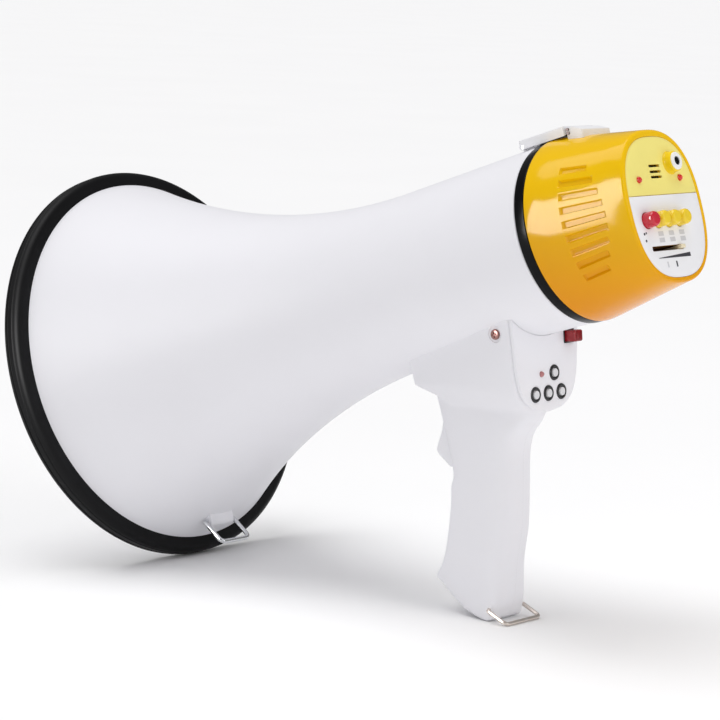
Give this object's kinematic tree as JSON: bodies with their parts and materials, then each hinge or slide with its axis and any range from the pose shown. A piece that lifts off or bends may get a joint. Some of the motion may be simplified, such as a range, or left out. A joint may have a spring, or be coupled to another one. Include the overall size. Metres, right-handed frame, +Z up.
{
  "type": "handheld megaphone",
  "caption": "Handheld megaphone: white flared horn with a black mouth bumper, yellow rear cap with microphone, keys and volume slider, pistol grip with trigger and player panel.",
  "frame": {"origin": "on the surface it stands on, below the middle of its box; it stands on the bottom of the mouth bumper and the heel of its grip", "axes": "+Z up; +X from the mouth towards the rear cap; the part is symmetric about Y = 0 but for its controls; the horn's axis lies in the XZ plane, 19.19 degrees mouth down"},
  "size_m": [0.4114, 0.23, 0.2709],
  "materials": {
    "white_body": "glossy moulded ABS, cool white",
    "black_rubber": "moulded rubber with a slight sheen",
    "white_inner": "glossy moulded ABS",
    "grey_plastic": "moulded plastic",
    "black_plastic": "moulded plastic",
    "phenolic": "pressed phenolic film",
    "ferrite": "ground ferrite",
    "zinc_steel": "zinc-plated steel",
    "screw_steel": "plated steel",
    "cell_jacket": "printed plastic sleeve without any mark",
    "nickel": "nickel-plated",
    "red_wire": "PVC insulation",
    "yellow_plastic": "glossy moulded ABS, warm yellow",
    "pale_yellow": "printed film, pale yellow",
    "white_panel": "printed film, white",
    "white_ring": "glossy plastic",
    "red_lens": "coloured LED lens",
    "green_board": "glass-epoxy circuit board",
    "red_key": "glossy moulded plastic",
    "yellow_key": "glossy moulded plastic",
    "brown_phenolic": "paper phenolic and plated steel",
    "ivory_knob": "moulded plastic",
    "white_hardware": "glossy moulded ABS",
    "dark_pin": "dark steel",
    "white_button": "silicone-like plastic",
    "white_trigger": "glossy moulded ABS",
    "dark_red": "translucent-looking red plastic",
    "spring_wire": "spring steel",
    "bail_wire": "plated wire",
    "loop_wire": "plated wire"
  },
  "bodies": {
    "horn_body": {"horn_shell": "white_body", "mouth_bumper": "black_rubber", "throat_tube": "white_inner", "reflector_cup": "white_inner", "reflector_fins": "white_inner", "driver_flange": "grey_plastic", "driver_housing": "black_plastic", "driver_diaphragm": "phenolic", "driver_magnet": "ferrite", "driver_yoke": "zinc_steel", "driver_screws": "screw_steel", "battery_tray": "black_plastic", "battery_cells": "cell_jacket", "battery_contacts": "nickel", "driver_lead": "red_wire", "gasket_ring": "black_rubber", "latch_base": "white_hardware", "latch_pin": "dark_pin", "grip_left": "white_body", "grip_right": "white_body", "panel_plate": "white_panel", "player_board": "green_board", "player_bezels": "black_rubber", "player_led": "red_lens", "lock_switch": "black_plastic", "trigger_pin": "screw_steel", "trigger_spring": "spring_wire", "trigger_switch": "black_plastic", "grip_screws": "screw_steel", "side_screws": "screw_steel", "bail_saddle": "white_hardware"},
    "siren_key": {"siren_key": "red_key"},
    "talk_key": {"talk_key": "yellow_key"},
    "music_key": {"music_key": "yellow_key"},
    "record_key": {"record_key": "yellow_key"},
    "volume_slider": {"volume_slider": "ivory_knob"},
    "latch_lever": {"latch_lever": "white_hardware"},
    "trigger": {"trigger": "white_trigger"},
    "player_button_1": {"player_button_1": "white_button"},
    "player_button_2": {"player_button_2": "white_button"},
    "player_button_3": {"player_button_3": "white_button"},
    "player_button_4": {"player_button_4": "white_button"},
    "lock_button": {"lock_button": "dark_red"},
    "horn_bail": {"horn_bail": "bail_wire"},
    "strap_loop": {"strap_loop": "loop_wire"},
    "rear_cap": {"rear_cap": "yellow_plastic", "mic_plate": "pale_yellow", "control_plate": "white_panel", "mic_capsule": "nickel", "mic_boot": "black_rubber", "jack_boss": "yellow_plastic", "jack_socket": "white_ring", "indicator_leds": "red_lens", "amp_board": "green_board", "board_screws": "screw_steel", "key_switches": "black_plastic", "volume_pot": "brown_phenolic", "latch_keeper": "white_hardware", "keeper_pin": "dark_pin"}
  },
  "joints": [
    {"name": "rear_cap_open", "type": "hinge", "parent": "horn_body", "child": "rear_cap", "pos_m": [0.15805, 0, 0.16885], "axis": [0, 1, 0], "range_deg": [0, 45]},
    {"name": "siren_key_press", "type": "slide", "parent": "rear_cap", "child": "siren_key", "axis": [-0.9444, 0, -0.3287], "range_m": [0, 0.0025], "stiffness_N_per_m": 400, "springref_m": -0.001},
    {"name": "talk_key_press", "type": "slide", "parent": "rear_cap", "child": "talk_key", "axis": [-0.9444, 0, -0.3287], "range_m": [0, 0.0025], "stiffness_N_per_m": 400, "springref_m": -0.001},
    {"name": "music_key_press", "type": "slide", "parent": "rear_cap", "child": "music_key", "axis": [-0.9444, 0, -0.3287], "range_m": [0, 0.0025], "stiffness_N_per_m": 400, "springref_m": -0.001},
    {"name": "record_key_press", "type": "slide", "parent": "rear_cap", "child": "record_key", "axis": [-0.9444, 0, -0.3287], "range_m": [0, 0.0025], "stiffness_N_per_m": 400, "springref_m": -0.001},
    {"name": "volume_slide", "type": "slide", "parent": "rear_cap", "child": "volume_slider", "axis": [0, -1, 0], "range_m": [0, 0.022]},
    {"name": "latch_lift", "type": "hinge", "parent": "horn_body", "child": "latch_lever", "pos_m": [0.11014, 0, 0.2569], "axis": [0, -1, 0], "range_deg": [0, 60]},
    {"name": "trigger_pull", "type": "hinge", "parent": "horn_body", "child": "trigger", "pos_m": [0.06713, 0, 0.11127], "axis": [0, -1, 0], "range_deg": [0, 7], "stiffness_Nm_per_rad": 0.6, "springref_deg": -5.73, "deforming": ["trigger_spring"]},
    {"name": "player_button_1_press", "type": "slide", "parent": "horn_body", "child": "player_button_1", "axis": [-0.9934, 0, -0.1148], "range_m": [0, 0.0008], "stiffness_N_per_m": 500, "springref_m": -0.0004},
    {"name": "player_button_2_press", "type": "slide", "parent": "horn_body", "child": "player_button_2", "axis": [-0.9934, 0, -0.1148], "range_m": [0, 0.0008], "stiffness_N_per_m": 500, "springref_m": -0.0004},
    {"name": "player_button_3_press", "type": "slide", "parent": "horn_body", "child": "player_button_3", "axis": [-0.9934, 0, -0.1148], "range_m": [0, 0.0008], "stiffness_N_per_m": 500, "springref_m": -0.0004},
    {"name": "player_button_4_press", "type": "slide", "parent": "horn_body", "child": "player_button_4", "axis": [-0.9934, 0, -0.1148], "range_m": [0, 0.0008], "stiffness_N_per_m": 500, "springref_m": -0.0004},
    {"name": "lock_button_press", "type": "slide", "parent": "horn_body", "child": "lock_button", "axis": [-0.9934, 0, -0.1148], "range_m": [0, 0.003], "stiffness_N_per_m": 300, "springref_m": -0.001},
    {"name": "horn_bail_swing", "type": "hinge", "parent": "horn_body", "child": "horn_bail", "pos_m": [-0.10908, 0, 0.02279], "axis": [0, -1, 0], "range_deg": [-60, 48]},
    {"name": "strap_loop_swing", "type": "hinge", "parent": "horn_body", "child": "strap_loop", "pos_m": [0.1014, 0, 0.00672], "axis": [0, -1, 0], "range_deg": [0, 75]}
  ]
}
